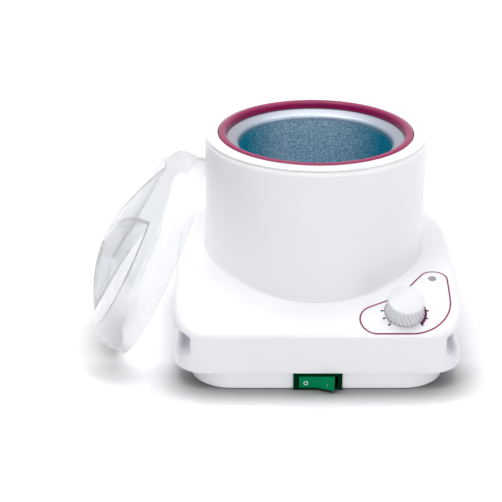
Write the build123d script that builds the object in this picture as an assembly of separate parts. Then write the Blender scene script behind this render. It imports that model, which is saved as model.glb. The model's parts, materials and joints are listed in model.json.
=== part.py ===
from build123d import *
from math import asin, atan2, cos, degrees, hypot, radians, sin, sqrt, tan
import os

# A salon wax warmer: a heated aluminium well in a white housing, with its clear lid leaning
# against the sleeve. Millimetres, +Z up, -Y is the front with the switch and the dial.
# The origin is where the sleeve's axis meets the floor.

os.makedirs("parts", exist_ok=True)

# Housing shell: the base moulding
base_half_width = 88.3
base_front = 91.6
base_rear = 90.0
base_top = 57.5
front_corner = 20.5
back_corner = 70.0
slope_start = 23.5        # the top is level behind this distance in front of the axis
slope_radius = 120.0      # and curves down to the front on this radius
top_edge = 4.5
wall = 2.5

# Housing shell: the sleeve
sleeve_radius = 70.0
sleeve_foot_flare = 0.6
sleeve_top = 133.6
sleeve_edge = 1.6
sleeve_foot = 1.6

# Side grips
grip_depth = 10.8
grip_low = 20.4
grip_high = 36.4
grip_back = 30.0
grip_blend = 4.5
grip_arch = 6.0           # the roof's rounding where it comes down to the front corner
grip_lip = 4.0            # rounded edge of the ledge that the fingers hook under

# Base tray
tray_half_width = 78.5
tray_front = 90.5
tray_back = 80.5
tray_height = 10.9
tray_front_corner = 26.0
tray_back_corner = 60.0
tray_edge = 1.2           # rounding where the tray meets the floor
seam = 0.3
tray_fit = 0.3            # side clearance of the tray's flange in the shell

# Screws and bosses
boss_spots = [(27.0, -80.0), (-27.0, -80.0), (48.0, 62.0), (-48.0, 62.0)]
boss_radius = 4.0
tower_radius = 5.0
screw_radius = 1.5
screw_head_radius = 3.4
screw_head_height = 2.5
screw_seat = 8.2
screw_length = 18.0
screw_clearance = 0.3

# Feet
foot_spots = [(58.0, -68.0), (-58.0, -68.0), (46.0, 48.0), (-46.0, 48.0)]
foot_radius = 7.0
foot_depth = 1.5
foot_fit = 0.1

# Well and the rings at the mouth, each given inwards from the sleeve
collar_band = 8.1         # the collar's breadth, seen from above
trim_width = 5.0
ledge_width = 4.7         # the collar's ledge under the flange
flange_land = 5.9         # level rim of the well
lip_width = 7.0           # from the rim down into the bore
gasket_width = 3.8
well_wall = 1.5
well_depth = 83.0         # from the flange's top to the inside of the bottom
well_corner = 8.0
flange_fit = 0.5
lip_drop = 2.6
lip_radius = 3.0
gasket_thickness = 0.8
collar_thickness = 0.9
collar_ledge = 2.5
collar_spigot = 12.0
collar_fit = 0.3
trim_height = 4.6
trim_fit = 0.3
groove = 0.4              # shadow line between collar and sleeve

# Heater band, its clamp and studs
band_thickness = 2.5
band_low = 58.0
band_high = 96.0
band_gap = 18.0
band_fit = 0.05
ear_thickness = 2.5
ear_low = 60.0
ear_high = 72.0
ear_reach = 12.0
clamp_radius = 2.0
stud_radius = 2.0
stud_length = 6.8
stud_height = 66.0

# Well bracket, nut and earth tag
well_stud_radius = 3.0
well_stud_length = 14.5
bracket_width = 18.0
bracket_thickness = 1.5
bracket_low = 42.0
bracket_clearance = 7.0   # the bracket's slope, beside the well
bracket_reach = 80.0
nut_height = 5.0
tag_thickness = 0.8
tag_reach = 16.0

# Sensing bulb and thermal fuse
bulb_radius = 3.0
bulb_low = 60.0
bulb_length = 52.0
capillary_radius = 0.8
clip_thickness = 0.6
fuse_radius = 2.0
fuse_length = 16.0
fuse_inset = 21.6         # the fuse's middle, in from the well's outside
fuse_direction = 50.7

# Dial on the slope
dial_x = 52.8
dial_y = -76.1
knob_radius = 11.7
knob_taper = 0.6
knob_height = 12.4
knob_crown = 1.6
knob_gap = 0.6
knob_flutes = 28
flute_radius = 1.0
flute_lean = 22.0
shaft_radius = 3.0
shaft_length = 11.0
running = 0.05
bush_radius = 5.0
bush_length = 4.5
thermostat_size = 26.0
thermostat_depth = 18.0
panel_nut_flats = 14.0
panel_nut_height = 2.2

# Indicator lamp
lamp_x = 72.1
lamp_y = -48.9
lens_radius = 2.45
lens_flange = 3.6
lamp_body_radius = 2.8
lamp_body_length = 11.0

# Rocker switch in the tray's front
switch_width = 30.0
switch_low = 0.3
switch_proud = 1.8
switch_body_half = 13.6
switch_body_low = 0.9
switch_body_wall = 0.7
switch_body_depth = 20.5
rocker_half = 11.0
rocker_gap = 0.35
rocker_valley = 3.0
rocker_throw = 24.0
rocker_pin = 1.0

# Mains inlet in the back wall
inlet_z = 32.0
inlet_width = 27.0
inlet_height = 19.8
inlet_flange_width = 30.8
inlet_flange_height = 23.6
inlet_flange = 2.5
inlet_depth = 28.0
socket_width = 24.2
socket_height = 16.4
socket_depth = 17.0
pin_recess = 5.0
pin_spread = 7.0

# Terminal block
block_size = (30.0, 18.0, 12.0)
block_spot = (35.0, 35.0)
lead_radius = 1.1
lead_out = 9.0            # straight run of a lead out of its terminal
lead_low = 20.0

# Lid
lid_radius = 67.2
lid_height = 38.3
lid_crown = 115.5
lid_shoulder = 12.0
lid_wall = 2.0
scoop_radius = 76.5
scoop_floor = 26.9
scoop_floor_crown = 450.0
grip_waist = 7.8
lid_azimuth = 1.9         # the lid's axis, from -X towards the front
lid_tilt = 25.3           # and above the level
lid_turn = 29.2           # the grip bar, from the steepest line of the lid towards the front
lid_side = -25.6          # the lid's centre, along Y
lid_gap = 0.3

# Worked out from the sizes above
base_bottom = tray_height + seam
plate_top = tray_height + wall
slope_centre_z = base_top - slope_radius
sleeve_bore = sleeve_radius - wall
collar_low = sleeve_top + groove
collar_top = collar_low + collar_thickness
ledge_top = collar_top - trim_height + 0.6 - well_wall - gasket_thickness
gasket_top = ledge_top + gasket_thickness
flange_top = gasket_top + well_wall
well_bottom = flange_top - well_depth
well_underside = well_bottom - well_wall
collar_bore = sleeve_radius - collar_band
collar_ledge_bore = collar_bore - ledge_width
trim_inner = collar_bore - trim_fit - trim_width
flange_radius = collar_bore - flange_fit
flange_flat = flange_radius - flange_land
gasket_inner = flange_radius - gasket_width
well_radius = flange_flat - lip_width
well_outer = well_radius + well_wall
bracket_bend_in = well_outer + bracket_clearance
bracket_bend_out = sleeve_bore - 1.0
fuse_reach = well_outer - fuse_inset
fuse_spot = (fuse_reach * cos(radians(fuse_direction)), fuse_reach * sin(radians(fuse_direction)))
capillary_level = bracket_low + 3.0


def beside(*spots):
    """The spots as (x, y, 0) locations."""
    return [Pos(x, y, 0) for x, y in spots]


def rod(radius, low, high):
    """A round bar on the Z axis between two heights."""
    return Pos(0, 0, (low + high) / 2) * Cylinder(radius, high - low)


def tube(outer, inner, low, high):
    """A round tube on the Z axis between two heights."""
    return rod(outer, low, high) - rod(inner, low - 1, high + 1)


def brick(x, y, z):
    """A box between three pairs of low and high values."""
    middle = Pos(sum(x) / 2, sum(y) / 2, sum(z) / 2)
    return middle * Box(x[1] - x[0], y[1] - y[0], z[1] - z[0])


def turned(*points):
    """A ring or pot turned from an outline of (radius, height) points."""
    return revolve(Plane.XZ * make_face(Polyline(*points, close=True)), Axis.Z)


def plan(half_width, front, back, front_radius, back_radius):
    """The rounded outline of a base piece, seen from above."""
    corners = [(-half_width, -front), (half_width, -front), (half_width, back), (-half_width, back)]
    sheet = make_face(Polyline(*corners, close=True))
    sheet = fillet(sheet.vertices().filter_by(lambda v: v.Y < 0), front_radius)
    return fillet(sheet.vertices().filter_by(lambda v: v.Y > back - 1), back_radius)


def base_plan(inset):
    """The shell's outline, drawn in by inset."""
    return plan(base_half_width - inset, base_front - inset, base_rear - inset,
                front_corner - inset, back_corner - inset)


def slope_height(y, inset=0.0):
    """Height of the base's top at y, measured on the surface that lies inset below it."""
    run = max(0.0, -y - slope_start)
    return slope_centre_z + sqrt((slope_radius - inset) ** 2 - run ** 2)


def panel(x, y):
    """The plane that touches the base's top at (x, y), facing outwards."""
    run = max(0.0, -y - slope_start)
    lean = asin(run / slope_radius)
    z = slope_centre_z + slope_radius * cos(lean)
    return Plane(origin=(x, y, z), x_dir=(1, 0, 0), z_dir=(0, -sin(lean), cos(lean)))


def base_block(inset, bottom):
    """The base as a solid block with its crowned top, drawn in by inset on every side but the bottom."""
    front = -(base_front - inset)
    back = base_rear - inset
    top = base_top - inset
    middle_y = (front - slope_start) / 2
    outline = [
        Line((front, bottom), (back, bottom)),
        Line((back, bottom), (back, top)),
        Line((back, top), (-slope_start, top)),
        ThreePointArc((-slope_start, top), (middle_y, slope_height(middle_y, inset)),
                      (front, slope_height(front, inset))),
        Line((front, slope_height(front, inset)), (front, bottom)),
    ]
    side = Plane.YZ * make_face(Wire(outline))
    block = extrude(side, base_half_width, both=True)
    block &= Pos(0, 0, bottom) * extrude(base_plan(inset), base_top)
    tops = block.faces().filter_by(lambda f: f.normal_at().Z > 0.5)
    rim = [e for e in tops.edges() if len([f for f in tops if e in f.edges()]) == 1]
    return fillet(rim, top_edge - inset)


def grip_cut(side, grow):
    """The hand grip along one side, running out through the front corner under an arched end."""
    inner = base_half_width - grip_depth - grow
    front = -(base_front - wall / 2) - grow
    cut = brick((inner, base_half_width + 20), (front, grip_back + grow), (grip_low - grow, grip_high + grow))
    arch = cut.edges().filter_by(Axis.X).group_by(Axis.Y)[0].sort_by(Axis.Z)[-1]
    cut = fillet(arch, grip_arch + grow)
    inner_edges = cut.edges().filter_by(Axis.Y).group_by(Axis.X)[0]
    cut = fillet(inner_edges.sort_by(Axis.Z)[0], grip_blend)
    end = cut.edges().filter_by(Axis.Z).group_by(Axis.X)[0].sort_by(Axis.Y)[-1]
    cut = fillet(end, grip_blend)
    return cut if side > 0 else mirror(cut, Plane.YZ)


def lip_cut(side):
    """What rounds the outer edge of the ledge under a hand grip, running out at both ends."""
    low = grip_low - grip_lip
    edge = base_half_width - grip_depth + grip_blend
    back = grip_back - grip_blend
    clear = base_half_width + 5
    around_it = extrude(Pos(0, 0, low - grip_lip) * base_plan(-1.0), 2 * grip_lip)
    slab = extrude(Pos(0, 0, low - grip_lip) * base_plan(0), 2 * grip_lip)
    cut = around_it - fillet(slab.edges().group_by(Axis.Z)[-1], grip_lip)
    run_out = Polyline((edge, grip_low), (edge + grip_lip, low), (clear, low), (clear, grip_low), close=True)
    cut &= extrude(Plane.XZ * make_face(run_out), base_front + 5, both=True)
    run_out = Polyline((back, grip_low), (back - 2 * grip_lip, low), (-base_front - 5, low),
                       (-base_front - 5, grip_low), close=True)
    cut &= extrude(Plane.YZ * make_face(run_out), clear)
    return cut if side > 0 else mirror(cut, Plane.YZ)


def screw_hole(radius, low, high):
    return [spot * rod(radius, low, high) for spot in beside(*boss_spots)]


def make_housing_shell():
    solid = base_block(0, base_bottom)
    foot = sleeve_radius + sleeve_foot_flare
    grown = Pos(0, 0, (base_bottom + sleeve_top) / 2)
    grown *= Cone(foot, sleeve_radius, sleeve_top - base_bottom)
    solid += grown
    junction = [e for e in solid.edges() if foot_edge(e)]
    solid = fillet(junction, sleeve_foot)
    solid = fillet(solid.edges().group_by(Axis.Z)[-1], sleeve_edge)
    outside = solid

    cavity = base_block(wall, base_bottom - 5)
    for side in (1, -1):
        cavity -= grip_cut(side, wall)
        solid -= grip_cut(side, 0)
        solid -= lip_cut(side)
    solid -= cavity
    solid -= rod(sleeve_bore, base_bottom - 5, sleeve_top + 5)

    bosses = [spot * rod(boss_radius, plate_top, base_top) for spot in beside(*boss_spots)]
    solid += [boss & outside for boss in bosses]
    solid -= screw_hole(screw_radius, plate_top - 1, screw_seat + screw_length + 2)

    seat = panel(lamp_x, lamp_y).location
    lamp_boss = seat * rod(lens_flange + 1.7, -8, -wall / 2) & outside
    solid += lamp_boss
    solid -= seat * rod(lens_flange + 0.15, -9, -wall)
    solid -= seat * rod(lens_radius + 0.1, -9, 5)
    solid -= panel(dial_x, dial_y).location * rod(bush_radius + 0.1, -9, 5)

    half_w, half_h = inlet_width / 2 + 0.2, inlet_height / 2 + 0.2
    solid -= brick((-half_w, half_w), (base_rear - 8, base_rear + 5), (inlet_z - half_h, inlet_z + half_h))
    return solid


def foot_edge(edge):
    """True for an edge where the sleeve grows out of the base's top."""
    foot = sleeve_radius + sleeve_foot_flare
    on_sleeve = all(abs(hypot(p.X, p.Y) - foot) < sleeve_foot_flare + 0.1
                    for p in (edge @ 0, edge @ 0.37, edge @ 1))
    middle = edge @ 0.5
    return on_sleeve and base_bottom + 5 < middle.Z < base_top + 1


def make_base_tray():
    outline = plan(tray_half_width, tray_front, tray_back, tray_front_corner, tray_back_corner)
    inside = plan(tray_half_width - wall, tray_front - wall, tray_back - wall,
                  tray_front_corner - wall, tray_back_corner - wall)
    tray = extrude(outline, tray_height)
    tray = fillet(tray.edges().group_by(Axis.Z)[0], tray_edge)
    tray += Pos(0, 0, tray_height) * extrude(base_plan(wall + tray_fit), wall)
    tray -= Pos(0, 0, wall) * extrude(inside, tray_height + wall)
    tray += [spot * rod(tower_radius, 0, plate_top) for spot in beside(*boss_spots)]
    tray -= screw_hole(screw_head_radius + screw_clearance, -1, screw_seat)
    tray -= screw_hole(screw_radius + screw_clearance, 0, plate_top + 1)
    tray -= [spot * rod(foot_radius + foot_fit, -1, foot_depth) for spot in beside(*foot_spots)]
    half = switch_body_half + 0.2
    high = 2 * switch_mid() - switch_body_low + 0.1
    tray -= brick((-half, half), (-tray_front - 1, -tray_front + switch_body_depth + 1),
                  (switch_body_low - 0.1, high))
    return tray


def make_rubber_feet():
    return [spot * rod(foot_radius, 0, foot_depth) for spot in beside(*foot_spots)]


def make_housing_screws():
    screws = []
    for spot in beside(*boss_spots):
        screw = rod(screw_head_radius, screw_seat - screw_head_height, screw_seat)
        screw += rod(screw_radius - 0.02, screw_seat - 1, screw_seat + screw_length)
        slot = rod(1.1, screw_seat - screw_head_height - 1, screw_seat - screw_head_height + 1.2)
        screws.append(spot * (screw - slot))
    return screws


def make_collar_ring():
    spigot = sleeve_bore - collar_fit
    land = sleeve_radius - sleeve_edge - 0.1
    ring = turned(
        (collar_ledge_bore, ledge_top - collar_ledge), (spigot - wall, ledge_top - collar_ledge),
        (spigot - wall, sleeve_top - collar_spigot), (spigot, sleeve_top - collar_spigot),
        (spigot, sleeve_top), (land, sleeve_top), (land, collar_low), (sleeve_radius, collar_low),
        (sleeve_radius, collar_top), (collar_bore, collar_top), (collar_bore, ledge_top),
        (collar_ledge_bore, ledge_top))
    outer = ring.edges().filter_by(lambda e: hypot((e @ 0).X, (e @ 0).Y) > sleeve_radius - 0.01)
    return fillet(outer.sort_by(Axis.Z)[-1], collar_thickness * 0.6)


def make_trim_ring():
    outer = collar_bore - trim_fit
    top = flange_top + trim_height
    ring = tube(outer, trim_inner, flange_top, top)
    edges = ring.edges().group_by(Axis.Z)[-1]
    return fillet(edges, (outer - trim_inner) * 0.36)


def make_well_gasket():
    return tube(flange_radius, gasket_inner, ledge_top, gasket_top)


def make_heating_well():
    sheet = make_face(Polyline(
        (0, well_underside), (well_outer, well_underside), (well_outer, gasket_top - lip_drop + 0.5),
        (flange_flat + 0.4, gasket_top), (flange_radius, gasket_top), (flange_radius, flange_top),
        (flange_flat, flange_top), (well_radius, flange_top - lip_drop), (well_radius, well_bottom),
        (0, well_bottom), close=True))
    for x, y, r in ((well_outer, well_underside, well_corner + well_wall),
                    (well_outer, gasket_top - lip_drop + 0.5, lip_radius - well_wall),
                    (well_radius, flange_top - lip_drop, lip_radius),
                    (well_radius, well_bottom, well_corner)):
        sheet = fillet(sheet.vertices().sort_by_distance((x, y, 0))[0], r)
    well = revolve(Plane.XZ * sheet, Axis.Z)
    return well + rod(well_stud_radius, well_underside - well_stud_length, well_underside + 0.5)


def make_heater_band():
    inner = well_outer + band_fit
    band = tube(inner + band_thickness, inner, band_low, band_high)
    half = band_gap / 2
    band -= brick((-half, half), (0, inner + 10), (band_low - 1, band_high + 1))
    reach = inner + 0.2
    for side in (1, -1):
        ear = brick(tuple(sorted((side * half, side * (half + ear_thickness)))),
                    (reach, reach + ear_reach), (ear_low, ear_high))
        band += ear
    axis_y, axis_z = clamp_axis()
    band -= Pos(0, axis_y, axis_z) * Rot(0, 90, 0) * Cylinder(clamp_radius + 0.2, band_gap * 3)
    return band


def clamp_axis():
    """Y and Z of the clamp screw, near the ends of the band's ears."""
    return well_outer + ear_reach - 3.0, (ear_low + ear_high) / 2


def make_band_clamp():
    outer = band_gap / 2 + ear_thickness
    screw = rod(clamp_radius, -outer - 1, outer + 6)
    screw += rod(clamp_radius * 1.75, -outer - 3, -outer)
    nut = hexagon(clamp_radius * 3.5, outer, outer + 3.2) - rod(clamp_radius + 0.03, outer - 1, outer + 5)
    axis_y, axis_z = clamp_axis()
    place = Pos(0, axis_y, axis_z) * Rot(0, 90, 0)
    return [place * screw, place * nut]


def hexagon(flats, low, high):
    """A six-sided bar on the Z axis, given by its width across flats."""
    return Pos(0, 0, low) * extrude(RegularPolygon(flats / 2, 6, major_radius=False), high - low)


def make_heater_terminals():
    inner = well_outer + band_fit + band_thickness
    studs = []
    for turn in (45, -45):
        stud = Pos(inner + stud_length / 2, 0, stud_height) * Rot(0, 90, 0)
        stud *= Cylinder(stud_radius, stud_length)
        washer = Pos(inner + 1.0, 0, stud_height) * Rot(0, 90, 0) * Cylinder(stud_radius * 1.9, 1.2)
        studs.append(Rot(0, 0, turn) * (stud + washer))
    return studs


def make_well_bracket():
    top = base_top - wall
    t = bracket_thickness
    right = [(bracket_bend_in, bracket_low), (bracket_bend_out, top), (bracket_reach, top)]
    under = [(bracket_reach, top - t), (bracket_bend_out + 0.8, top - t),
             (bracket_bend_in + 0.8, bracket_low - t)]
    half = right + under
    mirrored = [(-x, z) for x, z in reversed(half)]
    side = make_face(Polyline(*half, *mirrored, close=True))
    strap = extrude(Plane.XZ * side, bracket_width / 2, both=True)
    return strap - rod(well_stud_radius + 0.3, bracket_low - t - 1, bracket_low + 1)


def make_earth_tag():
    top = bracket_low - bracket_thickness
    tag = rod(well_stud_radius * 2, top - tag_thickness, top)
    tag += brick((-2.5, 2.5), (0, tag_reach), (top - tag_thickness, top))
    return tag - rod(well_stud_radius + 0.2, top - tag_thickness - 1, top + 1)


def make_well_nut():
    top = bracket_low - bracket_thickness - tag_thickness
    nut = hexagon(well_stud_radius * 10 / 3, top - nut_height, top)
    return nut - rod(well_stud_radius + 0.03, top - nut_height - 1, top + 1)


def bulb_y():
    return well_outer + bulb_radius + 0.15


def make_sensing_bulb():
    bulb = Pos(0, bulb_y(), 0) * rod(bulb_radius, bulb_low, bulb_low + bulb_length)
    return fillet(bulb.edges(), bulb_radius * 0.4)


def make_bulb_clip():
    low = band_high + 2
    ring = tube(bulb_radius + 0.05 + clip_thickness, bulb_radius + 0.05, low, low + 8)
    return Pos(0, bulb_y(), 0) * ring - rod(well_outer + 0.02, low - 1, low + 9)


def make_thermal_fuse():
    x, y = fuse_spot
    z = well_underside - fuse_radius - 0.1
    return Pos(x, y, z) * Rot(0, 90, 0) * Cylinder(fuse_radius, fuse_length)


def make_fuse_clip():
    x, y = fuse_spot
    z = well_underside - fuse_radius - 0.1
    inner = fuse_radius + 0.05
    outer = inner + clip_thickness
    saddle = Pos(x, y, z) * Rot(0, 90, 0) * Cylinder(outer, 6)
    saddle += brick((x - 3, x + 3), (y - outer, y + outer), (z, well_underside))
    saddle += brick((x - 3, x + 3), (y - outer - 5, y + outer + 5),
                    (well_underside - clip_thickness, well_underside))
    saddle -= Pos(x, y, z) * Rot(0, 90, 0) * Cylinder(inner, 8)
    return saddle - brick((x - 4, x + 4), (y - inner, y + inner), (z, well_underside + 1))


def thermostat_top():
    """Depth of the thermostat body's top below the panel: clear of the curved wall at its corners."""
    return wall + (thermostat_size / 2) ** 2 / (2 * (slope_radius - wall)) + 0.5


def make_thermostat_body():
    top = thermostat_top()
    half = thermostat_size / 2
    body = brick((-half, half), (-half, half), (-top - thermostat_depth, -top))
    body = fillet(body.edges().filter_by(Axis.Z), 2.0)
    body += rod(bush_radius + 2.0, -top - 0.5, -wall - 0.3)
    body += rod(bush_radius, -top - 0.5, bush_length)
    body -= rod(shaft_radius + running, -top - thermostat_depth * 0.6, bush_length + 1)
    return panel(dial_x, dial_y).location * body


def make_thermostat_nut():
    nut = hexagon(panel_nut_flats, 0.05, 0.05 + panel_nut_height)
    nut -= rod(bush_radius + 0.03, -1, panel_nut_height + 2)
    return panel(dial_x, dial_y).location * nut


def make_thermostat_shaft():
    low = -thermostat_top() - thermostat_depth * 0.6 + 0.3
    shaft = rod(shaft_radius, low, shaft_length)
    flat = brick((-4, 4), (shaft_radius - 1.0, shaft_radius + 1), (bush_length + 1.5, shaft_length + 1))
    return panel(dial_x, dial_y).location * (shaft - flat)


def make_control_knob():
    side = knob_height - knob_gap
    rim = knob_radius - knob_taper
    knob = Pos(0, 0, (knob_height + knob_gap) / 2) * Cone(knob_radius, rim, side)
    crown_radius = (rim ** 2 + knob_crown ** 2) / (2 * knob_crown)
    cap = Pos(0, 0, knob_height + knob_crown - crown_radius) * Sphere(crown_radius)
    cap &= rod(rim, knob_height - 0.01, knob_height + 5)
    knob += cap
    top = knob_height - 1.2
    taper = degrees(atan2(knob_taper, side))
    for index in range(knob_flutes):
        groove_cut = Pos(knob_radius - knob_taper / 2 + flute_radius * 0.45, 0, (top + knob_gap) / 2)
        groove_cut *= Rot(flute_lean, -taper, 0) * Cylinder(flute_radius, knob_height * 2)
        groove_cut &= tube(knob_radius + 5, knob_radius - 3, -5, top)
        knob -= Rot(0, 0, 360 * index / knob_flutes) * groove_cut
    knob -= rod(knob_radius - 2.0, knob_gap - 1, knob_gap + 4.6)
    bore = rod(shaft_radius + running, 0, shaft_length + 0.2)
    bore -= brick((-4, 4), (shaft_radius - 1.0 + running, shaft_radius + 1),
                  (bush_length + 1.5, shaft_length + 1))
    return panel(dial_x, dial_y).location * (knob - bore)


def make_lamp_lens():
    lens = rod(lens_radius, -wall - 0.5, 0.3)
    lens = fillet(lens.edges().group_by(Axis.Z)[-1], 0.5)
    lens += rod(lens_flange, -wall - 1.1, -wall - 0.1)
    return panel(lamp_x, lamp_y).location * lens


def make_lamp_body():
    top = -wall - 1.2
    body = rod(lamp_body_radius, top - lamp_body_length, top)
    body = fillet(body.edges().group_by(Axis.Z)[0], 1.0)
    return panel(lamp_x, lamp_y).location * body


def make_lamp_clip():
    top = -wall - 1.2
    return panel(lamp_x, lamp_y).location * tube(lens_flange + 0.1, lamp_body_radius + 0.05, top - 1.5, top)


def switch_mid():
    """Height of the switch's middle: its frame fills the tray's front from just above the floor."""
    return (switch_low + tray_height) / 2


def rocker_pivot_y():
    return -tray_front - switch_proud - 0.3 + rocker_valley * cos(radians(rocker_throw / 2))


def make_switch_bezel():
    mid = switch_mid()
    body_high = 2 * mid - switch_body_low
    front = -tray_front - switch_proud
    bezel = brick((-switch_width / 2, switch_width / 2), (front, -tray_front), (switch_low, tray_height))
    bezel = fillet(bezel.edges().group_by(Axis.Y)[0], 0.6)
    back = -tray_front + switch_body_depth
    bezel += brick((-switch_body_half, switch_body_half), (-tray_front - 0.5, back),
                   (switch_body_low, body_high))
    half = rocker_half + 1.4
    bezel -= brick((-half, half), (front - 1, -tray_front + 8),
                   (switch_body_low + switch_body_wall, body_high - switch_body_wall))
    pins = Pos(0, rocker_pivot_y(), 0) * rod(rocker_pin + running, switch_low + 0.25, tray_height - 0.25)
    bezel -= pins
    return bezel - switch_slots(0.0)


def switch_slots(grow):
    """The three blades at the back of the switch, or the slots that hold them."""
    back = -tray_front + switch_body_depth
    mid = switch_mid()
    blades = []
    for x in (-7, 0, 7):
        blades.append(brick((x - 0.4 - grow, x + 0.4 + grow), (back - 3, back + 8), (mid - 2.4, mid + 2.4)))
    return blades


def make_switch_terminals():
    return switch_slots(0.0)


def make_switch_rocker():
    rise = rocker_half * tan(radians(rocker_throw / 2))
    outline = Polyline((-rocker_half, -rocker_valley - rise), (0, -rocker_valley),
                       (rocker_half, -rocker_valley - rise), (rocker_half - 0.6, 1.5),
                       (3.0, 3.2), (-3.0, 3.2), (-rocker_half + 0.6, 1.5), close=True)
    low = switch_body_low + switch_body_wall + rocker_gap
    high = 2 * switch_mid() - low
    rocker = Pos(0, 0, low) * extrude(make_face(outline), high - low)
    rocker = fillet(rocker.edges().filter_by(Axis.Z).group_by(Axis.Y)[0], 0.8)
    rocker += rod(rocker_pin, switch_low + 0.6, tray_height - 0.6)
    return Pos(0, rocker_pivot_y(), 0) * Rot(0, 0, -rocker_throw / 2) * rocker


def pin_places():
    """X and Z of the inlet's three pins."""
    return [(-pin_spread, inlet_z - 2.0), (pin_spread, inlet_z - 2.0), (0.0, inlet_z + 2.0)]


def make_mains_inlet():
    face = base_rear + inlet_flange
    half_w, half_h = inlet_flange_width / 2, inlet_flange_height / 2
    inlet = brick((-half_w, half_w), (base_rear, face), (inlet_z - half_h, inlet_z + half_h))
    inlet = fillet(inlet.edges().filter_by(Axis.Y), 3.0)
    inlet += brick((-inlet_width / 2, inlet_width / 2), (base_rear - inlet_depth, base_rear + 0.5),
                   (inlet_z - inlet_height / 2, inlet_z + inlet_height / 2))
    half_w, half_h = socket_width / 2, socket_height / 2
    socket = brick((-half_w, half_w), (face - socket_depth, face + 1), (inlet_z - half_h, inlet_z + half_h))
    upper = socket.edges().filter_by(Axis.Y).group_by(Axis.Z)[-1]
    socket = chamfer(upper, 4.5)
    inlet -= socket
    return inlet - make_inlet_pins()


def make_inlet_pins():
    length = (base_rear - inlet_depth - 8, base_rear + inlet_flange - pin_recess)
    return [brick((x - 1.0, x + 1.0), length, (z - 2.0, z + 2.0)) for x, z in pin_places()]


def make_terminal_block():
    width, depth, height = block_size
    x, y = block_spot
    block = brick((x - width / 2, x + width / 2), (y - depth / 2, y + depth / 2), (wall, wall + height))
    block = fillet(block.edges().filter_by(Axis.Z), 1.5)
    for step in (-1, 0, 1):
        block -= Pos(x + step * width / 3, y - 4, 0) * rod(2.2, wall + height - 4, wall + height + 1)
    return block


def lead(points, radius, bend):
    """A wire along straight runs joined by arcs."""
    path = FilletPolyline(*points, radius=bend)
    start = Vector(*points[0])
    way = Vector(*points[1]) - start
    section = Plane(origin=start, z_dir=way) * Circle(radius)
    return sweep(section, path=path)


def thermostat_side(x):
    """A point on the thermostat's upper side, and the direction out of that side."""
    seat = panel(dial_x, dial_y)
    point = seat.from_local_coords((x, thermostat_size / 2, -thermostat_top() - thermostat_depth * 0.5))
    return point, seat.y_dir


def around(radius, direction, z):
    """A point beside the sleeve's axis, by its radius and its direction from +X in degrees."""
    return radius * cos(radians(direction)), radius * sin(radians(direction)), z


def make_leads():
    """Each lead's route, by name, from one terminal to the other."""
    pin_end = base_rear - inlet_depth - 8
    low_pin, earth_pin = pin_places()[0][1], pin_places()[2][1]
    blade_end = -tray_front + switch_body_depth + 8
    mid = switch_mid()
    stud_tip = well_outer + band_fit + band_thickness + stud_length
    diagonal = cos(radians(45))
    near, far = stud_tip * diagonal, (stud_tip + 4) * diagonal
    block_x, block_y = block_spot
    block_top = wall + block_size[2]
    block_back = block_y + block_size[1] / 2
    left, out = thermostat_side(-6.0)
    right = thermostat_side(6.0)[0]
    centre = thermostat_side(0.0)[0]
    tag_z = bracket_low - bracket_thickness - tag_thickness / 2
    routes = {
        "lead_live": [(-pin_spread, pin_end, low_pin), (-pin_spread, pin_end - lead_out, low_pin),
                      (-pin_spread, pin_end - 2 * lead_out, lead_low),
                      (-pin_spread, blade_end + 2 * lead_out, lead_low),
                      (-pin_spread, blade_end + lead_out, mid), (-pin_spread, blade_end, mid)],
        "lead_neutral": [(pin_spread, pin_end, low_pin), (pin_spread, pin_end - 7, low_pin),
                         (block_x - 6, block_back + 12, wall + 6), (block_x - 6, block_back, wall + 6)],
        "lead_earth": [(0, pin_end, earth_pin), (0, pin_end - 10, earth_pin),
                       (0, tag_reach + 8, tag_z), (0, tag_reach, tag_z)],
        "lead_switched": [(0, blade_end, mid), (0, blade_end + lead_out, mid),
                          (20, blade_end + 2 * lead_out, 12), (dial_x - 8, blade_end + 20, 24),
                          tuple(left + out * 8), tuple(left)],
        "lead_heater": [(near, -near, stud_height), (far, -far, stud_height), (far, -far, 50),
                        (dial_x + 4, right.Y + 12, 38), tuple(right + out * 7), tuple(right)],
        "lead_return": [(near, near, stud_height), (far, far, stud_height), (far, far, 34),
                        (block_x + 5, block_y, block_top + 10), (block_x + 5, block_y, block_top)],
    }
    leads = {name: lead(points, lead_radius, 2.5) for name, points in routes.items()}
    spot = (0, bulb_y())
    leads["capillary_tube"] = lead(
        [(*spot, bulb_low), (*spot, bulb_low - 12),
         around(sleeve_bore - 1.1, 59.2, capillary_level),
         around(sleeve_bore + 9.4, 27.9, capillary_level),
         around(sleeve_bore + 5.9, -17.4, capillary_level - 1),
         around(sleeve_bore + 8.5, -35.4, capillary_level + 1),
         tuple(centre + out * 9), tuple(centre)],
        capillary_radius, 3.0)
    return leads


def lid_dome(inset):
    """The lid's outer form, or the space inside it when drawn in by the wall."""
    radius, height, crown = lid_radius - inset, lid_height - inset, lid_crown - inset
    low = -1.0 if inset else 0.0
    shoulder = height - crown + sqrt(crown ** 2 - radius ** 2)
    middle = (radius / 2, height - crown + sqrt(crown ** 2 - (radius / 2) ** 2))
    outline = [Line((0, low), (radius, low)), Line((radius, low), (radius, shoulder)),
               ThreePointArc((radius, shoulder), middle, (0, height)), Line((0, height), (0, low))]
    half = make_face(Wire(outline))
    half = fillet(half.vertices().sort_by_distance((radius, shoulder, 0))[0], lid_shoulder - inset)
    return revolve(Plane.XZ * half, Axis.Z)


def scoops(grow):
    """The two half-moon finger scoops, or the same grown by the wall for the inside."""
    floor = scoop_floor - grow
    floor_sphere = Pos(0, 0, floor - scoop_floor_crown) * Sphere(scoop_floor_crown)
    for side in (1, -1):
        place = Pos(0, side * (grip_waist / 2 + scoop_radius), 0)
        yield place * rod(scoop_radius + grow, 0, 60) - floor_sphere


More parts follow.
